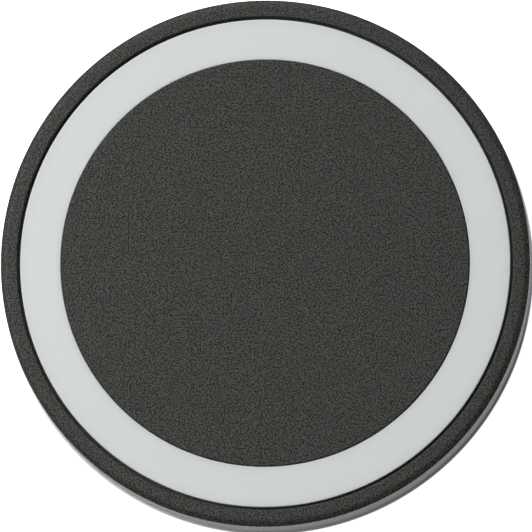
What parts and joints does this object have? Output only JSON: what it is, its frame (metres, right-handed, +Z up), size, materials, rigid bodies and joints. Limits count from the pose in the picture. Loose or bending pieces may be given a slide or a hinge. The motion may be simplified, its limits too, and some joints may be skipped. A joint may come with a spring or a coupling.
{
  "type": "wireless charging pad",
  "caption": "Round tabletop wireless charging pad: grained dark disc, milky light ring, grained rim, USB-C inlet in the side, coil and board inside.",
  "frame": {"origin": "centre of the resting plane, under the middle of the charging disc", "axes": "+Z up out of the charging surface, +Y towards the USB-C inlet, -Y the front"},
  "size_m": [0.1, 0.1, 0.012],
  "materials": {
    "shell_plastic": "fine moulded grain on the rim, satin side wall",
    "disc_plastic": "fine moulded grain",
    "ring_diffuser": "smooth milky diffuser",
    "reflector_white": "matte white",
    "base_plastic": "fine moulded grain",
    "foot_rubber": "matte",
    "screw_steel": "zinc plated",
    "board_laminate": "solder mask",
    "usb_steel": "drawn sheet",
    "usb_insulator": "moulded",
    "contact_gold": "gilded",
    "led_resin": "clear over a white body",
    "chip_epoxy": "moulded epoxy",
    "pin_tin": "tinned",
    "capacitor_ceramic": "fired ceramic",
    "resistor_glaze": "glazed",
    "inductor_core": "pressed iron powder",
    "crystal_can": "welded can",
    "coil_copper": "enamelled stranded copper",
    "ferrite": "sintered ferrite",
    "carrier_plastic": "moulded",
    "adhesive_tape": "double-sided tape",
    "thermistor_resin": "dipped resin",
    "solder": "bright solder"
  },
  "bodies": {
    "root": {"top_shell": "shell_plastic", "charging_disc": "disc_plastic", "light_ring": "ring_diffuser", "reflector_frame": "reflector_white", "base_cover": "base_plastic", "rubber_feet": "foot_rubber", "case_screws": "screw_steel", "board_screws": "screw_steel", "main_board": "board_laminate", "usb_shell": "usb_steel", "usb_tongue": "usb_insulator", "usb_contacts": "contact_gold", "led_chips": "led_resin", "control_ic": "chip_epoxy", "ic_pins": "pin_tin", "power_mosfets": "chip_epoxy", "resonant_capacitors": "capacitor_ceramic", "bypass_capacitors": "capacitor_ceramic", "chip_resistors": "resistor_glaze", "chip_terminals": "pin_tin", "power_inductor": "inductor_core", "crystal": "crystal_can", "transmitter_coil": "coil_copper", "ferrite_sheet": "ferrite", "coil_carrier": "carrier_plastic", "coil_adhesive": "adhesive_tape", "thermistor": "thermistor_resin", "thermistor_leads": "pin_tin", "solder_joints": "solder"}
  },
  "joints": []
}
